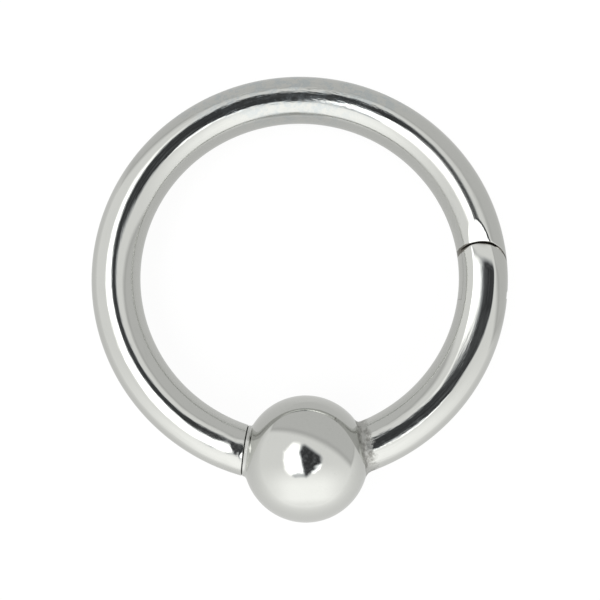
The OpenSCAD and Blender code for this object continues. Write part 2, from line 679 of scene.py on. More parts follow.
def closed_up(around):
    """How far the rounded end is burnished towards the hollow, most on the ring's outer side."""
    off = off_side(around)
    narrowed = NARROWED_BY * fade(off, NARROWED_FULL, NARROWED_NONE)
    return narrowed + CLOSED_BY * fade(off, CLOSED_FULL, CLOSED_NONE)


def rim_size(around, level):
    """Rounding of a cut's rim, which fades out where the rim runs into the slot's edges."""
    full = sizes().rim_round
    spare = max(0.0, abs(WIRE_R * math.sin(around)) - level)
    return full * min(1.0, spare / (RIM_FADE * full))


def rim_backs(side, corners, angles, level):
    """Angles round the ring at which the rounding of a rim begins."""
    return [c + side * rim_size(v, level) / RING_R for c, v in zip(corners, angles)]


def rolled_rim(side, corners, angles, level):
    """Rows of a cut's rounded rim, from the wire's surface round to its wall."""
    columns = []
    for back, corner, v in zip(rim_backs(side, corners, angles, level), corners, angles):
        size = rim_size(v, level)
        start = wire_point(back, v)
        edge = wire_point(corner, v)
        wall = edge - Vector((0, 0, math.copysign(size, edge.z)))
        columns.append([start] + bend(start, edge, wall))
    return [list(row) for row in zip(*columns)]


def hinge_end(body, side, level, long_regions, long_radius, short_curve):
    """One end of the hinge. Side is +1 where the wire lies beyond the pin, as on the hoop.
    The long regions reach past the pin to a cylinder of the long radius, the others stop
    at the short curve, and the flat faces at the slot's level join the two. Returns each
    region's rows, the last of them at its edge."""
    count = sizes().sides
    around = slot_angles(level)
    near = slot_columns(level)
    half = count // 2
    regions = {
        "outer": range(-near, near + 1),
        "inner": range(half - near, half + near + 1),
        "top": range(near, half - near + 1),
        "bottom": range(half + near, count - near + 1),
    }
    angles = {name: [around[i % count] for i in ids] for name, ids in regions.items()}
    rounded = ("top", "bottom")

    # Where each column leaves the common stretch: at the short curve, or on a line between its ends
    common = [0.0] * count
    edges = {}
    for name in regions:
        if name in long_regions:
            continue
        corners = [short_curve(name, v) for v in angles[name]]
        rows = [[wire_point(c, v) for c, v in zip(corners, angles[name])]]
        if name in rounded:
            rows = rolled_rim(side, corners, angles[name], level)
            body.grid(rows)
            corners = rim_backs(side, corners, angles[name], level)
        edges[name] = rows
        for i, corner in zip(regions[name], corners):
            common[i % count] = corner
    for name in long_regions:
        ids = regions[name]
        a = common[ids[0] % count]
        b = common[ids[-1] % count]
        for k, i in enumerate(ids):
            common[i % count] = mix(a, b, k / (len(ids) - 1))
    start = [hinge_start(side)] * count
    body.grid(wire_rows(start, common, even_angles(count), around), closed=True)

    # The long regions, up to their rim
    for name in long_regions:
        first = [common[i % count] for i in regions[name]]
        last = [turn_on_circle(v, long_radius(v), -side) for v in angles[name]]
        rim = []
        if name in rounded:
            rim = rolled_rim(side, last, angles[name], level)
            last = rim_backs(side, last, angles[name], level)
        rows = wire_rows(first, last, angles[name], angles[name]) + rim[1:]
        body.grid(rows)
        edges[name] = rows
    return edges


def flat_with_bore(body, outline, bore_r, level):
    """A flat face at a height, from a closed outline inwards to a bore about the pin."""
    circle = [about_pin(bore_r, angle_of(p), level) for p in outline]
    rows = []
    for i in range(FLAT_ROWS + 1):
        t = i / FLAT_ROWS
        rows.append([to_flat(mix(a, b, t)) for a, b in zip(outline, circle)])
    body.grid(rows, closed=True, material=CUT)
    return circle


def arc(radius, start, end, high):
    """Points of an arc about the pin, clockwise from one angle to another, in the pin's frame."""
    if end > start:
        end -= 2 * math.pi
    turns = [mix(start, end, i / FLOOR_STEPS) for i in range(FLOOR_STEPS + 1)]
    return [about_pin(radius, turn, high) for turn in turns]


def walls(body, edges, level):
    """Walls from the rims at the top and bottom to the slot's level. Returns their feet."""
    feet = {}
    for name, high in (("top", level), ("bottom", -level)):
        rim = edges[name][-1]
        foot = []
        for p in rim:
            q = from_pin(p)
            foot.append(to_flat(Vector((q.x, q.y, high))))
        rows = []
        for i in range(WALL_ROWS + 1):
            rows.append([mix(a, b, i / WALL_ROWS) for a, b in zip(rim, foot)])
        body.grid(rows, material=CUT)
        feet[name] = [from_pin(p) for p in foot]
    return feet


def outer_and_inner(edges):
    """The slot's edges on the ring's outer and inner side, in the pin's frame, in one order."""
    outer = [from_pin(p) for p in edges["outer"][-1]]
    inner = [from_pin(p) for p in reversed(edges["inner"][-1])]
    return zip(outer, inner)


def hoop_hinge(body):
    """The hoop's end: a middle tongue round the pin between two hollows for the fork's cheeks."""
    given = sizes()
    level = given.tongue_t / 2
    hollow = given.knuckle_r + given.hinge_gap

    def short_curve(name, around):
        return turn_on_circle(around, hollow, 1)

    def long_radius(around):
        return given.knuckle_r

    edges = hinge_end(body, 1, level, ("outer", "inner"), long_radius, short_curve)
    feet = walls(body, edges, level)
    # Rounded end of the tongue, from its outer to its inner edge, level by level
    rows = []
    for a, b in outer_and_inner(edges):
        rows.append([to_flat(p) for p in arc(given.knuckle_r, angle_of(a), angle_of(b), a.z)])
    body.grid(rows, material=CUT)
    # Flat faces of the tongue, each with the bore
    bore = []
    for name, high, near, far in (("top", level, -1, 0), ("bottom", -level, 0, -1)):
        outer_line = [from_pin(row[near]) for row in edges["outer"]]
        inner_line = [from_pin(row[far]) for row in edges["inner"]]
        end_line = [from_pin(p) for p in rows[near]]
        wall = feet[name] if name == "top" else feet[name][::-1]
        outline = wall[:-1] + inner_line[:-1] + end_line[:0:-1] + outer_line[:0:-1]
        circle = flat_with_bore(body, outline, given.pin_r + given.pin_play, high)
        bore.append([to_flat(p) for p in circle])
    body.grid(bore, closed=True, material=CUT)


def segment_hinge(body):
    """The segment's end: two rounded cheeks with a slot between them for the tongue."""
    given = sizes()
    level = given.tongue_t / 2 + given.fork_gap
    hollow = given.knuckle_r + given.tongue_gap

    def short_curve(name, around):
        if name == "outer":
            return PIN_AT - math.asin(given.relief / out_at(around))
        return turn_on_circle(around, hollow, -1)

    def long_radius(around):
        return given.knuckle_r + closed_up(around)

    edges = hinge_end(body, -1, level, ("top", "bottom"), long_radius, short_curve)
    feet = walls(body, edges, level)
    # Floor of the slot: a flat outer corner, then the hollow round the tongue
    corner = Vector((math.sqrt(hollow**2 - given.relief**2), -given.relief, 0))
    rows = []
    for a, b in outer_and_inner(edges):
        ledge = Vector((corner.x, corner.y, a.z))
        line = [mix(a, ledge, i / CORNER_STEPS) for i in range(CORNER_STEPS)]
        line += arc(hollow, angle_of(corner), angle_of(b), a.z)
        rows.append([to_flat(p) for p in line])
    body.grid(rows, material=CUT)
    # Flat faces of the slot, each with a blind bore for the pin
    for name, high, deep, near, far in (
        ("top", level, PIN_SEAT, 0, -1),
        ("bottom", -level, -PIN_SEAT, -1, 0),
    ):
        outer_line = [from_pin(row[near]) for row in edges[name]]
        inner_line = [from_pin(row[far]) for row in edges[name]]
        floor_line = [from_pin(p) for p in rows[far]]
        cheek = feet[name] if name == "top" else feet[name][::-1]
        outline = outer_line[:-1] + cheek[:-1] + inner_line[:0:-1] + floor_line[:0:-1]
        circle = flat_with_bore(body, outline, given.pin_r, high)
        lip = [to_flat(p) for p in circle]
        seat = [to_flat(Vector((p.x, p.y, deep))) for p in circle]
        middle = [to_flat(Vector((0, 0, deep)))] * len(circle)
        body.grid([lip, seat, middle], closed=True, material=CUT)


# The closing end, the stub, the bead and the solder, about chords from the bead's middle


def chord_heading(side):
    """Direction from the bead's middle along the wire, at the closing or the solder side."""
    given = sizes()
    if side < 0:
        reach = ENTRY + given.stub_out + given.seat_gap
        return BEAD_AT - math.asin(reach / (2 * RING_R)) - math.pi / 2 + 2 * math.pi
    return BEAD_AT + math.asin(ENTRY / (2 * RING_R)) + math.pi / 2


def chord_way(heading):
    """Unit vector along a chord."""
    return Vector((math.cos(heading), math.sin(heading), 0))


def chord_point(heading, reach, off, around):
    """Point at a distance along a chord from the bead's middle and a distance off that line."""
    along = chord_way(heading)
    out = Vector((along.y, -along.x, 0))
    if out.y > 0:
        out = -out
    aside = out * math.cos(around) + Vector((0, 0, 1)) * math.sin(around)
    return BEAD_MIDDLE + along * reach + aside * off


def set_in(point, heading, reach, around, by):
    """A rim's point moved towards the middle of the flat face that the rim bounds."""
    centre = chord_point(heading, reach, 0, around)
    return point + (centre - point).normalized() * by


def on_bead(point):
    """The point of the bead's surface straight out from its middle."""
    return BEAD_MIDDLE + (point - BEAD_MIDDLE).normalized() * BEAD_R


def bead_arc(a, b, count):
    """Points over the bead from a to b, without a itself."""
    start = (a - BEAD_MIDDLE) / BEAD_R
    end = (b - BEAD_MIDDLE) / BEAD_R
    whole = math.acos(max(-1.0, min(1.0, start.dot(end))))
    line = []
    for i in range(1, count + 1):
        t = i / count
        p = (start * math.sin((1 - t) * whole) + end * math.sin(t * whole)) / math.sin(whole)
        line.append(BEAD_MIDDLE + p * BEAD_R)
    return line


def hoop_seat(body):
    """The hoop's closing end: a flat face with a rounded rim and a shallow dish."""
    given = sizes()
    heading = chord_heading(-1)
    reach = ENTRY + given.stub_out + given.seat_gap
    around = even_angles(given.sides)
    edge = [turn_on_plane(v, heading, reach, 1) for v in around]
    back = [a - given.rim_round / RING_R for a in edge]
    start = [min(edge) - (TROUGH_AT + TROUGH_FAR + POLISH_SPARE) / RING_R] * given.sides
    body.grid(wire_rows(start, back, around, around), closed=True)
    dish_r = BEAD_R + given.seat_gap
    dish_rim = math.sqrt(dish_r**2 - reach**2)
    columns = []
    for a, b, v in zip(back, edge, around):
        rim = wire_point(a, v)
        corner = wire_point(b, v)
        inset = set_in(corner, heading, reach, v, given.rim_round)
        dish = chord_point(heading, reach, dish_rim, v)
        line = [rim] + bend(rim, corner, inset)
        line += [mix(inset, dish, i / FACE_ROWS) for i in range(1, FACE_ROWS + 1)]
        for i in range(1, DISH_ROWS + 1):
            off = dish_rim * (1 - i / DISH_ROWS)
            line.append(chord_point(heading, math.sqrt(dish_r**2 - off**2), off, v))
        columns.append(line)
    rows = [list(row) for row in zip(*columns)]
    body.grid(rows[: RIM_STEPS + 1], closed=True)
    body.grid(rows[RIM_STEPS:], closed=True, material=CUT)
    return start[0]


def stub_line(heading, around):
    """Points from the middle of the bead's crown over the stub's flat face to its rounded rim,
    its short band and the nook against the bead."""
    given = sizes()
    reach = ENTRY + given.stub_out
    crown_rim = math.sqrt(BEAD_R**2 - reach**2)
    line = []
    for i in range(DISH_ROWS):
        off = crown_rim * i / DISH_ROWS
        line.append(chord_point(heading, math.sqrt(BEAD_R**2 - off**2), off, around))
    turn = turn_on_plane(around, heading, reach, 1)
    rim = wire_point(turn, around)
    inset = set_in(rim, heading, reach, around, given.rim_round)
    crown = chord_point(heading, reach, crown_rim, around)
    line += [mix(crown, inset, i / FACE_ROWS) for i in range(FACE_ROWS + 1)]
    line += bend(inset, rim, wire_point(turn + given.rim_round / RING_R, around))
    meet_turn = turn_on_bead(around, -1)
    meet = wire_point(meet_turn, around)
    nook_wire = wire_point(meet_turn - NOOK_WIRE / RING_R, around)
    line += [mix(line[-1], nook_wire, 0.5), nook_wire]
    spoke = (meet - BEAD_MIDDLE).normalized()
    away = spoke.cross(chord_way(heading).cross(spoke))
    nook_bead = on_bead(meet - away.normalized() * NOOK_BEAD)
    return line + bend(nook_wire, meet, nook_bead)


def solder_size(around):
    """Leg of the uneven solder fillet at an angle round the wire."""
    part = 1.0
    for count, height, phase in LEG_WAVES:
        part += height * math.sin(count * around + phase)
    return sizes().solder_leg * part


def solder_land(heading, around):
    """Point of the bead where the solder fillet begins."""
    off = WIRE_R + solder_size(around)
    return chord_point(heading, math.sqrt(BEAD_R**2 - off**2), off, around)


def fillet_line(heading, land, wire_turn, around):
    """Points of the hollow solder fillet from the bead to the wire, without the first."""
    foot = wire_point(wire_turn, around)
    spoke = (land - BEAD_MIDDLE).normalized()
    ahead = chord_way(heading)
    slide = (ahead - spoke * ahead.dot(spoke)).normalized()
    tangent = (foot - wire_point(wire_turn + FILLET_STEP, around)).normalized()
    handle = FILLET_HANDLE * solder_size(around)
    a = land + slide * handle
    b = foot + tangent * handle
    line = []
    for i in range(1, FILLET_ROWS + 1):
        t = i / FILLET_ROWS
        low = land * (1 - t) ** 3 + a * (3 * t * (1 - t) ** 2)
        line.append(low + b * (3 * t * t * (1 - t)) + foot * t**3)
    return line


def bead_and_stub(body):
    """The bead between its stub and its solder fillet, as one skin of columns round the chord."""
    given = sizes()
    closing = chord_heading(-1)
    solder = chord_heading(1)
    around = even_angles(given.sides)
    columns = []
    lands = []
    for v in around:
        line = stub_line(closing, v)
        land = solder_land(solder, v)
        line += bead_arc(line[-1], land, BEAD_ROWS)
        wire_turn = turn_on_plane(v, solder, ENTRY + solder_size(v), -1)
        columns.append(line + fillet_line(solder, land, wire_turn, v))
        lands.append(wire_turn)
    rows = [list(row) for row in zip(*columns)]
    faces_end = DISH_ROWS + FACE_ROWS
    body.grid(rows[: faces_end + 1], closed=True, material=CUT)
    body.grid(rows[faces_end:], closed=True)
    start = [max(lands) + SOLDER_SPARE / RING_R] * given.sides
    body.grid(wire_rows(lands, start, around, around), closed=True)
    return start[0]


def dress_bead(piece):
    """Gives the faces of the bead its own steel."""
    middle = RING_TO_ROW @ BEAD_MIDDLE
    reach = BEAD_R * (1 + BALL_SPARE)
    for face in piece.data.polygons:
        if face.material_index == 0 and (face.center - middle).length < reach:
            face.material_index = BALL


def pin_rings():
    """Rings of points from one end of the hinge pin to the other, with small chamfers."""
    full = sizes().pin_r
    reach = PIN_SEAT - PIN_END_GAP
    profile = (
        (0.0, -reach),
        (full - PIN_CHAMFER, -reach),
        (full, -reach + PIN_CHAMFER),
        (full, reach - PIN_CHAMFER),
        (full - PIN_CHAMFER, reach),
        (0.0, reach),
    )
    rows = []
    for radius, high in profile:
        rows.append([to_flat(about_pin(radius, turn, high)) for turn in even_angles(PIN_SIDES)])
    return rows


# Materials, with places in millimetres in the flat ring's frame

# Noises by name: scale, detail, roughness and seed
NOISES = {
    "haze": (1.3, 4.0, 0.6, 2.0),
    "streaks": (26.0, 3.0, 0.6, 5.0),
    "wire waves": (1.6, 2.0, 0.5, 9.0),
    "bead waves": (0.9, 2.0, 0.5, 9.0),
    "ragged": (9.0, 3.0, 0.62, 4.0),
    "seat blots": (6.0, 4.0, 0.7, 17.0),
    "top blots": (4.0, 4.0, 0.68, 21.0),
    "heat edge": (6.0, 4.0, 0.7, 12.0),
    "heat blots": (5.0, 5.0, 0.72, 11.0),
    "heat pits": (9.0, 5.0, 0.7, 11.0),
    "grime edge": (8.0, 3.0, 0.6, 14.0),
    "cut grain": (18.0, 4.0, 0.65, 3.0),
    "pin rings": (60.0, 3.0, 0.6, 8.0),
    "tent": (1.6, 2.0, 0.5, 6.0),
    "lens glass": (9.0, 4.0, 0.65, 3.0),
    "floor grain": (900.0, 3.0, 0.5, 1.0),
}

# A span says where a finish starts and where it is full, or the other way round with FALL, and
# a name that ends in TO holds the two levels that the span before it is fitted to

# All polished steel: haze and streaks that wear the polish, as noise levels
HAZE_SEEN = (0.42, 0.7)
STREAKS_SEEN = (0.45, 0.75)
WORN_SHARE = 0.6
WORN_ROUGH = 0.07
# Streaks run along the wire, so its length counts this much for them
ALONG_SHARE = 0.12
# Depth of the slow waves of hand polishing, of the raggedness between them and of the streaks
WAVE_WIRE = 0.010
WAVE_BEAD = 0.004
RAGGED_WIRE = 0.0026
RAGGED_TOP = 0.009
RAGGED_BEAD = 0.00012
STREAK_DEPTH = 0.00012
# The wire's inner side, by the distance off its middle line, is calmer and rougher
CALM_SIDE = (-0.42, -0.2)
CALM_SIDE_TO = (0.12, 1.0)
INNER_SIDE = (-0.34, -0.5)
INNER_ROUGH = 0.1
# The wire is calmer by the hinge, too, by the distance from the pin
CALM_HINGE = (1.1, 1.7)
CALM_HINGE_TO = (0.2, 1.0)
# The two sides of the bead, by x: the solder's and the closing end's
SOLDER_SIDE = (0.0, 0.3)
CLOSING_SIDE = (0.0, -0.3)
# Speckled steel by the solder and thin polish by the closing end, by the distance from the bead
SPECKLED_REACH = (1.8, 3.8)
SPECKLED_MORE = 2.2
SEAT_REACH = (2.2, 3.2)
SEAT_BLOTS = (0.36, 0.62)
SEAT_BLOTS_TO = (0.2, 1.0)
SEAT_ROUGH = 0.13
# Thin polish above the hinge, by x and y
ABOVE_HINGE_X = (2.2, 3.6)
ABOVE_HINGE_Y = (0.2, 1.2)
ABOVE_HINGE_ROUGH = 0.11
# Blue-grey patches opposite the bead, by y
TOP_SPAN = (3.6, 4.4)
TOP_BLOTS = (0.44, 0.60)
TOP_SHARE = 0.7
TOP_ROUGH = 0.11
# Heat marks past the solder: their ragged end, blots, stain, roughness and pits
HEAT_END = (1.88, 2.02)
HEAT_RAGGED = 0.5
HEAT_BLOTS = (0.46, 0.60)
HEAT_STAIN = 0.3
HEAT_BLOT_STAIN = 0.45
HEAT_ROUGH = 0.34
PIT_DEPTH = 0.0012
# Darkening at the hinge gap: its inner end, its reach there, its uneven edge and its upper lip
GAP_DARK_SIDE = (-0.28, -0.5)
GAP_DARK_REACH = 0.045
GAP_DARK_RAGGED = 0.06
GAP_DARK_BACK = -0.035
GAP_DARK_EDGE = (0.016, 0.032)
GAP_DARK_UPPER = (0.0, 0.2)
GAP_DARK_SHARE = 0.8
# Cut steel, its darker colour partly painted shade: its grain, and its darkening towards the lip by the
# distance off the wire's middle line
CUT_DARK = 0.5
CUT_GRAIN = (0.35, 0.7)
CUT_GRAIN_DEPTH = 0.004
CUT_BUMP = 0.6
CUT_ROUGH = (0.34, 0.55)
LIP_SPAN = (0.40, 0.52)
# The pin's turned rings
RINGS_SEEN = (0.4, 0.7)
RINGS_DEPTH = 0.002
PIN_ROUGH = (0.18, 0.32)
# Noise levels over which the roughness of cut steel and of the pin changes
GRAIN_SPAN = (0.3, 0.7)


def new_material(name):
    """A metal, with the helper for its nodes and its surface shader."""
    material = bpy.data.materials.new(name)
    material.use_nodes = True
    material.node_tree.nodes.clear()
    shader = Nodes(material.node_tree)
    surface = shader.node("ShaderNodeBsdfPrincipled")
    surface.inputs["Metallic"].default_value = 1.0
    shader.show("ShaderNodeOutputMaterial", surface.outputs[0])
    return material, shader, surface


def dress(shader, surface, colour, rough, height, strength=1.0):
    """Gives a surface its colour, its roughness and its fine relief in millimetres."""
    shader.put(surface.inputs["Base Color"], colour)
    shader.put(surface.inputs["Roughness"], rough)
    bump = shader.node("ShaderNodeBump")
    bump.inputs["Strength"].default_value = strength
    bump.inputs["Distance"].default_value = MM
    shader.put(bump.inputs["Height"], height)
    shader.put(surface.inputs["Normal"], bump.outputs[0])


def darker(shade, part):
    """A colour at a part of its brightness."""
    return tuple(part * c for c in shade[:3]) + (1.0,)


def flat_position(shader):
    """Object coordinates turned into the flat ring's frame, in millimetres."""
    place = shader.node("ShaderNodeTexCoord")
    level = shader.node("ShaderNodeMapping", vector_type="TEXTURE")
    level.inputs["Location"].default_value = RING_MIDDLE
    level.inputs["Rotation"].default_value = (-LEAN, 0.0, 0.0)
    level.inputs["Scale"].default_value = (MM, MM, MM)
    shader.put(level.inputs["Vector"], place.outputs["Object"])
    return level.outputs[0]


def off_wire(shader, x, y):
    """Distance of a place outwards from the wire's middle line."""
    return shader.minus(shader.radius(x, y), RING_R / MM)


def distance_from(shader, flat, point):
    """Distance from a point of the flat ring's frame."""
    gap = shader.node("ShaderNodeVectorMath", operation="DISTANCE")
    shader.put(gap.inputs[0], flat)
    gap.inputs[1].default_value = point / MM
    return gap.outputs["Value"]


def worn_polish(shader, flat, streak_at):
    """How far the polish is worn, from 0 to 1, and the fine streaks in it."""
    haze = shader.fit(shader.noise(flat, "haze"), HAZE_SEEN)
    streaks = shader.noise(streak_at, "streaks")
    return shader.times(haze, shader.fit(streaks, STREAKS_SEEN)), streaks


def worn_steel(shader, worn, least):
    """Colour and roughness of polished steel, from its least roughness where it isn't worn."""
    look = bpy.context.scene.steel_look
    colour = shader.mix_colour(shader.times(worn, WORN_SHARE), look.steel[:], look.steel_dark[:])
    return colour, shader.fit(worn, RISE, (least, least + WORN_ROUGH))


def polished_wire(name):
    """Mirror-polished steel of the wire, streaked along it, with its worn and marked places."""
    material, shader, surface = new_material(name)
    flat = flat_position(shader)
    x, y, high = shader.separate(flat)
    off = off_wire(shader, x, y)
    # The jump of the angle falls inside the bead
    along = shader.times(shader.math("ARCTAN2", x, y), RING_R / MM)
    streak_at = shader.combine(shader.times(along, ALONG_SHARE), off, high)
    worn, streaks = worn_polish(shader, flat, streak_at)
    colour, rough = worn_steel(shader, worn, bpy.context.scene.steel_look.polish)
    rough = shader.times_plus(shader.fit(off, INNER_SIDE), INNER_ROUGH, rough)
    rough = shader.plus(rough, thin_polish(shader, flat))
    colour, rough = top_marks(shader, flat, colour, rough)
    colour, rough, pits = heat_marks(shader, flat, colour, rough)
    # A darker brown band along the upper lip of the hinge gap
    colour = hinge_gap_darkening(shader, flat, off, colour)
    height = shader.times(shader.noise(streak_at, "wire waves"), WAVE_WIRE)
    ragged = shader.noise(streak_at, "ragged")
    height = shader.times_plus(ragged, ragged_depth(shader, flat, off), height)
    height = shader.times_plus(pits, -PIT_DEPTH, height)
    height = shader.times_plus(streaks, STREAK_DEPTH, height)
    dress(shader, surface, colour, rough, height)
    return material


def polished_bead(name):
    """Mirror-polished steel of the bead, slightly duller and much smoother than the wire."""
    material, shader, surface = new_material(name)
    flat = flat_position(shader)
    worn, streaks = worn_polish(shader, flat, flat)
    colour, rough = worn_steel(shader, worn, bpy.context.scene.steel_look.polish_bead)
    height = shader.times(shader.noise(flat, "bead waves"), WAVE_BEAD)
    height = shader.times_plus(shader.noise(flat, "ragged"), RAGGED_BEAD, height)
    height = shader.times_plus(streaks, STREAK_DEPTH, height)
    dress(shader, surface, colour, rough, height)
    return material


def worn_top(shader, flat):
    """1 on the stretch opposite the bead, where the polish is streakier."""
    _, y, _ = shader.separate(flat)
    return shader.fit(y, TOP_SPAN)


def ragged_depth(shader, flat, off):
    """Depth of the raggedness, which hand polishing left uneven over the wire."""
    depth = shader.times_plus(worn_top(shader, flat), RAGGED_TOP, RAGGED_WIRE)
    depth = shader.times(depth, shader.fit(off, CALM_SIDE, CALM_SIDE_TO))
    from_pin_axis = distance_from(shader, flat, PIN_FLAT)
    depth = shader.times(depth, shader.fit(from_pin_axis, CALM_HINGE, CALM_HINGE_TO))
    return shader.times(depth, speckled(shader, flat))


def speckled(shader, flat):
    """How many times rougher the steel is worked beside the solder than elsewhere."""
    x, _, _ = shader.separate(flat)
    near = shader.fit(distance_from(shader, flat, BEAD_MIDDLE), SPECKLED_REACH, FALL)
    near = shader.times(near, shader.fit(x, SOLDER_SIDE))
    return shader.times_plus(near, SPECKLED_MORE, 1.0)


def thin_polish(shader, flat):
    """Added roughness where the polish is thinner: above the hinge and by the closing end."""
    x, y, _ = shader.separate(flat)
    above_hinge = shader.times(shader.fit(x, ABOVE_HINGE_X), shader.fit(y, ABOVE_HINGE_Y))
    above_hinge = shader.times(above_hinge, ABOVE_HINGE_ROUGH)
    by_seat = shader.fit(distance_from(shader, flat, BEAD_MIDDLE), SEAT_REACH, FALL)
    by_seat = shader.times(by_seat, shader.fit(x, CLOSING_SIDE))
    blots = shader.fit(shader.noise(flat, "seat blots"), SEAT_BLOTS, SEAT_BLOTS_TO)
    by_seat = shader.times(shader.times(by_seat, blots), SEAT_ROUGH)
    return shader.plus(above_hinge, by_seat)


def top_marks(shader, flat, colour, rough):
    """Blue-grey patches of thinner polish opposite the bead."""
    look = bpy.context.scene.steel_look
    blots = shader.fit(shader.noise(flat, "top blots"), TOP_BLOTS)
    mask = shader.times(worn_top(shader, flat), blots)
    colour = shader.mix_colour(shader.times(mask, TOP_SHARE), colour, look.steel_blue[:])
    return colour, shader.times_plus(mask, TOP_ROUGH, rough)


def heat_marks(shader, flat, colour, rough):
    """Mottled dark marks on the wire where it was heated, just past the solder, and their pits."""
    look = bpy.context.scene.steel_look
    far = distance_from(shader, flat, BEAD_MIDDLE)
    x, _, _ = shader.separate(flat)
    edge = shader.times_plus(shader.noise(flat, "heat edge"), HEAT_RAGGED, far)
    patch = shader.times(shader.fit(edge, HEAT_END, FALL), shader.fit(x, SOLDER_SIDE))
    blots = shader.fit(shader.noise(flat, "heat blots"), HEAT_BLOTS)
    mask = shader.times(patch, blots)
    stain = shader.times_plus(mask, HEAT_BLOT_STAIN, shader.times(patch, HEAT_STAIN))
    colour = shader.mix_colour(stain, colour, look.heat[:])
    rough = shader.times_plus(patch, HEAT_ROUGH, rough, clamp=True)
    return colour, rough, shader.times(shader.noise(flat, "heat pits"), patch)


def hinge_gap_darkening(shader, flat, off, colour):
    """Brown band, darker along the upper lip of the hinge gap, heavier towards its inner end."""
    given = sizes()
    look = bpy.context.scene.steel_look
    x, y, _ = shader.separate(flat)
    dx = shader.minus(x, PIN_FLAT.x / MM)
    dy = shader.minus(y, PIN_FLAT.y / MM)
    gap_r = (given.knuckle_r + given.hinge_gap / 2) / MM
    off_gap = shader.math("ABSOLUTE", shader.minus(shader.radius(dx, dy), gap_r))
    uneven = shader.times_plus(shader.noise(flat, "grime edge"), GAP_DARK_RAGGED, GAP_DARK_BACK)
    reach = shader.times_plus(shader.fit(off, GAP_DARK_SIDE), GAP_DARK_REACH, uneven)
    near_lip = shader.fit(shader.minus(off_gap, reach), GAP_DARK_EDGE, FALL)
    mask = shader.times(near_lip, shader.fit(dy, GAP_DARK_UPPER))
    return shader.mix_colour(shader.times(mask, GAP_DARK_SHARE), colour, look.gap_dark[:])


def shaded_cut_steel(name):
    """Dull, finely machined steel of the faces inside the hinge and the seam, its colour darker than the
    polished steel's as partly painted shade for the narrow gaps.
    """
    look = bpy.context.scene.steel_look
    material, shader, surface = new_material(name)
    flat = flat_position(shader)
    grain = shader.noise(flat, "cut grain")
    # The colour is partly painted shade for the narrow gaps, and the grain darkens it at random
    dark = darker(look.shaded_cut_steel, CUT_DARK)
    colour = shader.mix_colour(shader.fit(grain, CUT_GRAIN), look.shaded_cut_steel[:], dark)
    x, y, high = shader.separate(flat)
    # Darker towards the lip of the cut faces, in the same brown as at the hinge gap
    lip = shader.fit(shader.radius(off_wire(shader, x, y), high), LIP_SPAN)
    colour = shader.mix_colour(shader.times(lip, GAP_DARK_SHARE), colour, look.gap_dark[:])
    rough = shader.fit(grain, GRAIN_SPAN, CUT_ROUGH)
    dress(shader, surface, colour, rough, shader.times(grain, CUT_GRAIN_DEPTH), CUT_BUMP)
    return material


def pin_steel(name):
    """Drawn steel of the hinge pin, with fine rings left by turning."""
    look = bpy.context.scene.steel_look
    material, shader, surface = new_material(name)
    _, _, high = shader.separate(flat_position(shader))
    rings = shader.noise(shader.combine(0.0, 0.0, high), "pin rings")
    colour = shader.mix_colour(shader.fit(rings, RINGS_SEEN), look.steel[:], look.steel_dark[:])
    rough = shader.fit(rings, GRAIN_SPAN, PIN_ROUGH)
    dress(shader, surface, colour, rough, shader.times(rings, RINGS_DEPTH))
    return material


# Operators: one for each piece and one for the stage


class RING_OT_hoop(bpy.types.Operator):
    """Makes the hoop, from its tongue over the top to its dished closing end"""

    bl_idname = "bead_ring.hoop"
    bl_label = "Make the hoop"

    def execute(self, context):
        wire = polished_wire("hoop_polished_steel")
        cut = shaded_cut_steel("hoop_shaded_cut_steel")
        body = Body()
        last = hoop_seat(body)
        body.add_mesh(bent_wire(hinge_start(1), last, wire))
        hoop_hinge(body)
        body.finish("hoop_polished", [wire, cut], "hoop_body", "hoop")
        return {"FINISHED"}


class RING_OT_segment(bpy.types.Operator):
    """Makes the swinging segment: its fork, its wire, the solder, the bead and the stub"""

    bl_idname = "bead_ring.segment"
    bl_label = "Make the bead segment"

    def execute(self, context):
        wire = polished_wire("segment_polished_steel")
        cut = shaded_cut_steel("segment_shaded_cut_steel")
        ball = polished_bead("bead_polished_steel")
        metals = [wire, cut, ball]
        body = Body()
        first = bead_and_stub(body)
        body.add_mesh(bent_wire(first, hinge_start(-1), wire))
        segment_hinge(body)
        piece = body.finish(
            "bead_segment_polished", metals, "segment_body", "bead_segment"
        )
        dress_bead(piece)
        return {"FINISHED"}


class RING_OT_pin(bpy.types.Operator):
    """Makes the hinge pin, with its small chamfers"""

    bl_idname = "bead_ring.pin"
    bl_label = "Make the hinge pin"

    def execute(self, context):
        metal = pin_steel("hinge_pin_steel")
        body = Body()
        body.grid(pin_rings(), closed=True)
        body.finish("hinge_pin_polished", [metal], "segment_body", "hinge_pin")
        return {"FINISHED"}


# The stage: camera, light tent and floor

CAMERA_FLAT = Vector((-0.04, -4.90, 20.83)) * MM
CAMERA_BACK = Vector((-0.0014, -0.1967, 0.9805))
CAMERA_UP = Vector((0.0333, 0.9799, 0.1967))
CLIP_START = 0.0005
CLIP_END = 10.0
SENSOR_MM = 36.0

WHITE = (1.0, 1.0, 1.0, 1.0)
TENT_WHITE = (1.0, 1.0, 0.985, 1.0)
LENS_BLUE = (0.92, 0.96, 1.0, 1.0)

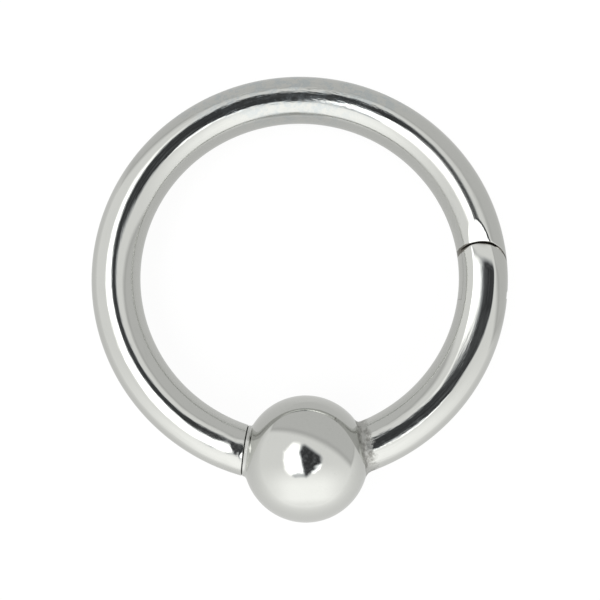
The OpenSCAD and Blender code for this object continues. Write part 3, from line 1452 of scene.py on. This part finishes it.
# Outlines on the sky, seen straight up from the ring: each side's direction in degrees and its
# distance in radians, how soft the border is and how round its corners are
SOFTBOX = {
    "sides": ((180, 0.68), (90, 0.46), (270, 0.54), (8, -0.12), (225, 0.74), (135, 0.62)),
    "soft": 0.2,
    "blend": 0.3,
}
CORNER_GLOW = {
    "sides": ((-45, 0.52), (180, -0.16), (90, -0.18), (-10, 0.52), (-80, 0.52)),
    "soft": 0.08,
    "blend": 0.12,
}
LENS = {
    "sides": ((188, 0.17), (146, 0.29), (85, 0.41), (54, 0.31), (0, 0.49), (-47, 0.44), (-100, 0.60)),
    "soft": 0.14,
    "blend": 0.12,
}
LENS_TAIL = {
    "sides": ((180, 0.44), (90, -0.46), (270, 0.60), (0, 0.05)),
    "soft": 0.08,
    "blend": 0.12,
}
TAIL_SHARE = 0.6
# Light of the tent, how much more the softbox and the corner glow give, and the mottled inside
# of the lens
TENT_LIGHT = 0.96
WHITE_MORE = 1.6
GLASS_SEEN = (0.42, 0.72)
GLASS_LIGHT = (0.045, 0.16)
# Brighter near side: by v, and narrower and weaker away from its middle
NEAR_SPAN = (-0.1, -0.95)
NEAR_SIDES = (0.4, 1.5)
NEAR_LIGHT = (0.44, 0.12)
# Dimmer again low on the near side
LOW_NEAR = (-1.3, -1.62)
LOW_NEAR_LESS = -0.2
# The greyer far side: its direction, where it starts and how its border bends
GREY_AT = math.radians(59)
GREY_FROM = 0.70
GREY_BEND = 0.12
GREY_MIDDLE = 0.4
GREY_SPAN = (GREY_FROM - 0.16, GREY_FROM + 0.06)
GREY_LESS = -0.30
SEAM_SPAN = (GREY_FROM, GREY_FROM + 0.16)
SEAM_LESS = -0.10
# The outlines wander a little, so that no border is ruler straight
WANDER_SCALE = 3.0
WANDER_SPAN = (0.3, 0.7)
WANDER_BY = (-0.03, 0.03)
# Least distance off the middle of the sky that a division is made by
TINY = 1e-4

# Floor: half its size, its own light, the share of that light in what is seen, and its grain
FLOOR_HALF = 0.4
FLOOR_LIGHT = 1.04
FLOOR_GLOW = 0.87
FLOOR_DARK = 0.985
# What the steel mirrors of it is a glow with painted shade: dim close to the ring, as bright as the tent
# far out
FLOOR_PAINTED_SHADE = 0.67
FLOOR_REACH = 9.0 * MM
# Inside the ring, the distance from the wire counts this much for the painted shade
INSIDE_SHARE = 0.3
# Least distance from the ring's middle that a division is made by
TINY_REACH = 1e-5


def make_camera(look):
    """The camera at the photograph's viewing angle."""
    turn = RING_TO_ROW.to_3x3()
    back = (turn @ CAMERA_BACK).normalized()
    right = (turn @ CAMERA_UP).cross(back).normalized()
    up = back.cross(right)
    lens = bpy.data.cameras.new("camera")
    lens.lens = look.lens_mm
    lens.sensor_width = SENSOR_MM
    lens.clip_start = CLIP_START
    lens.clip_end = CLIP_END
    camera = bpy.data.objects.new("camera", lens)
    basis = Matrix((right, up, back)).transposed().to_4x4()
    camera.matrix_world = Matrix.Translation(RING_TO_ROW @ CAMERA_FLAT) @ basis
    bpy.context.scene.collection.objects.link(camera)
    bpy.context.scene.camera = camera


def outline_mask(shader, x, y, sides, soft, blend):
    """1 inside a convex outline on the sky."""
    worst = None
    for degrees, distance in sides:
        a = math.radians(degrees)
        part = shader.times_plus(y, math.sin(a), shader.times(x, math.cos(a)))
        part = shader.minus(part, distance)
        worst = part if worst is None else shader.math("SMOOTH_MAX", worst, part, blend)
    return shader.fit(worst, (-soft / 2, soft / 2), FALL)


def tent_level(shader, u, v):
    """Brightness of the tent towards a place on the sky: brighter near, greyer at the far right."""
    narrow = shader.fit(shader.math("ABSOLUTE", u), NEAR_SIDES, NEAR_LIGHT)
    near = shader.times(shader.fit(v, NEAR_SPAN), narrow)
    cosine = math.cos(GREY_AT)
    sine = math.sin(GREY_AT)
    deep = shader.times_plus(v, sine, shader.times(u, cosine))
    along = shader.times_plus(v, -cosine, shader.times(u, sine))
    along = shader.minus(along, GREY_MIDDLE)
    border = shader.plus(deep, shader.times(shader.times(along, along), GREY_BEND))
    grey = shader.fit(border, GREY_SPAN)
    seam = shader.times(grey, shader.fit(border, SEAM_SPAN, FALL))
    light = shader.plus(near, TENT_LIGHT)
    light = shader.times_plus(grey, GREY_LESS, light)
    light = shader.times_plus(seam, SEAM_LESS, light)
    return shader.times_plus(shader.fit(v, LOW_NEAR), LOW_NEAR_LESS, light)


def sky_place(shader):
    """Where a ray meets the sky, as its angle from straight up in two directions."""
    place = shader.node("ShaderNodeTexCoord")
    level = shader.node("ShaderNodeMapping", vector_type="TEXTURE")
    level.inputs["Rotation"].default_value = (-LEAN, 0.0, 0.0)
    shader.put(level.inputs["Vector"], place.outputs["Generated"])
    x, y, z = shader.separate(level.outputs[0])
    across = shader.radius(x, y)
    tilt = shader.math("ARCTAN2", across, z)
    stretch = shader.over(tilt, shader.larger(across, TINY))
    return shader.times(x, stretch), shader.times(y, stretch)


def light_tent(look):
    """A pale tent with a softbox at the left of the lens, the dark lens and a greyer far side."""
    world = bpy.data.worlds.new("light_tent")
    bpy.context.scene.world = world
    world.use_nodes = True
    world.node_tree.nodes.clear()
    shader = Nodes(world.node_tree)
    u, v = sky_place(shader)
    light = tent_level(shader, u, v)
    wander = shader.combine(shader.times(u, WANDER_SCALE), shader.times(v, WANDER_SCALE), 0.0)
    slip = shader.fit(shader.noise(wander, "tent"), WANDER_SPAN, WANDER_BY, smooth=False)
    u = shader.plus(u, slip)
    v = shader.minus(v, slip)
    softbox = outline_mask(shader, u, v, **SOFTBOX)
    glow = outline_mask(shader, u, v, **CORNER_GLOW)
    lens = outline_mask(shader, u, v, **LENS)
    tail = shader.times(outline_mask(shader, u, v, **LENS_TAIL), TAIL_SHARE)
    lens = shader.larger(lens, tail)
    light = shader.times_plus(shader.larger(softbox, glow), WHITE_MORE, light)
    # Inside of the lens: mottled, from near black to a dull blue grey
    glass = shader.noise(shader.combine(u, v, 0.0), "lens glass")
    glass = shader.fit(glass, GLASS_SEEN, GLASS_LIGHT)
    light = shader.times_plus(shader.minus(glass, light), lens, light)
    tone = shader.mix_colour(lens, TENT_WHITE, LENS_BLUE)
    sky = shader.glow("ShaderNodeBackground", tone, shader.times(light, look.sky))
    plain = shader.glow("ShaderNodeBackground", WHITE, 1.0)
    seen = shader.node("ShaderNodeLightPath").outputs["Is Camera Ray"]
    shader.show("ShaderNodeOutputWorld", shader.mix_shader(seen, sky, plain))


def painted_floor_reflection(shader, place):
    """Brightness of the floor as the steel mirrors it, a painted reflection: the tent's far out, with
    painted shade close to the ring.
    """
    x, y, _ = shader.separate(place)
    reach = shader.radius(x, y)
    outside = shader.minus(reach, RING_R)
    off = shader.larger(outside, shader.times(outside, -INSIDE_SHARE))
    horizon = shader.over(math.pi / 2, shader.larger(reach, TINY_REACH))
    far_level = tent_level(shader, shader.times(x, horizon), shader.times(y, horizon))
    rise = shader.over(off, shader.plus(off, FLOOR_REACH))
    return shader.times_plus(shader.minus(far_level, FLOOR_PAINTED_SHADE), rise, FLOOR_PAINTED_SHADE)


def pale_floor(look):
    """A plain pale floor, which the steel mirrors as a painted reflection, with painted shade close to the
    ring.
    """
    mesh = bmesh.new()
    bmesh.ops.create_grid(mesh, x_segments=1, y_segments=1, size=FLOOR_HALF)
    data = bpy.data.meshes.new("floor")
    mesh.to_mesh(data)
    mesh.free()
    floor = bpy.data.objects.new("floor", data)
    bpy.context.scene.collection.objects.link(floor)
    material = bpy.data.materials.new("pale_floor")
    material.use_nodes = True
    material.node_tree.nodes.clear()
    shader = Nodes(material.node_tree)
    place = shader.node("ShaderNodeTexCoord").outputs["Object"]
    grain = shader.noise(place, "floor grain")
    colour = shader.mix_colour(grain, look.floor[:], darker(look.floor, FLOOR_DARK))
    matt = shader.node("ShaderNodeBsdfDiffuse")
    shader.put(matt.inputs["Color"], colour)
    lit = shader.glow("ShaderNodeEmission", WHITE, FLOOR_LIGHT)
    soft = shader.mix_shader(FLOOR_GLOW, matt.outputs[0], lit)
    # The steel sees the floor as a glow: a painted reflection, with painted shade close to the ring
    painted_reflection = shader.glow("ShaderNodeEmission", TENT_WHITE, painted_floor_reflection(shader, place))
    seen = shader.node("ShaderNodeLightPath").outputs["Is Glossy Ray"]
    shader.show("ShaderNodeOutputMaterial", shader.mix_shader(seen, soft, painted_reflection))
    data.materials.append(material)


class RING_OT_stage(bpy.types.Operator):
    """Makes the pale floor, the light tent and the camera"""

    bl_idname = "bead_ring.stage"
    bl_label = "Make the stage"

    def execute(self, context):
        look = context.scene.studio_look
        context.scene.view_settings.view_transform = "Standard"
        make_camera(look)
        pale_floor(look)
        light_tent(look)
        return {"FINISHED"}


class RING_PT_panel(bpy.types.Panel):
    """Lists the ring's sizes, looks and operators"""

    bl_idname = "RING_PT_panel"
    bl_label = "Hinged bead ring"
    bl_space_type = "VIEW_3D"
    bl_region_type = "UI"
    bl_category = "Bead Ring"

    def draw(self, context):
        column = self.layout.column()
        for name, group in GROUPS:
            settings = getattr(context.scene, name)
            for field in group.__annotations__:
                column.prop(settings, field)
        for operator in OPERATORS:
            column.operator(operator.bl_idname)


OPERATORS = (RING_OT_hoop, RING_OT_segment, RING_OT_pin, RING_OT_stage)
GROUPS = (("ring_sizes", RingSizes), ("steel_look", SteelLook), ("studio_look", StudioLook))


def register():
    """Registers the groups of settings, the operators and the panel."""
    for name, group in GROUPS:
        bpy.utils.register_class(group)
        setattr(bpy.types.Scene, name, PointerProperty(type=group))
    for made in OPERATORS + (RING_PT_panel,):
        bpy.utils.register_class(made)


def unregister():
    """Undoes what register has done."""
    for made in reversed(OPERATORS + (RING_PT_panel,)):
        bpy.utils.unregister_class(made)
    for name, group in reversed(GROUPS):
        delattr(bpy.types.Scene, name)
        bpy.utils.unregister_class(group)


def main():
    """Makes the ring and its stage."""
    register()
    bpy.ops.bead_ring.hoop()
    bpy.ops.bead_ring.segment()
    bpy.ops.bead_ring.pin()
    bpy.ops.bead_ring.stage()


if __name__ == "__main__":
    main()
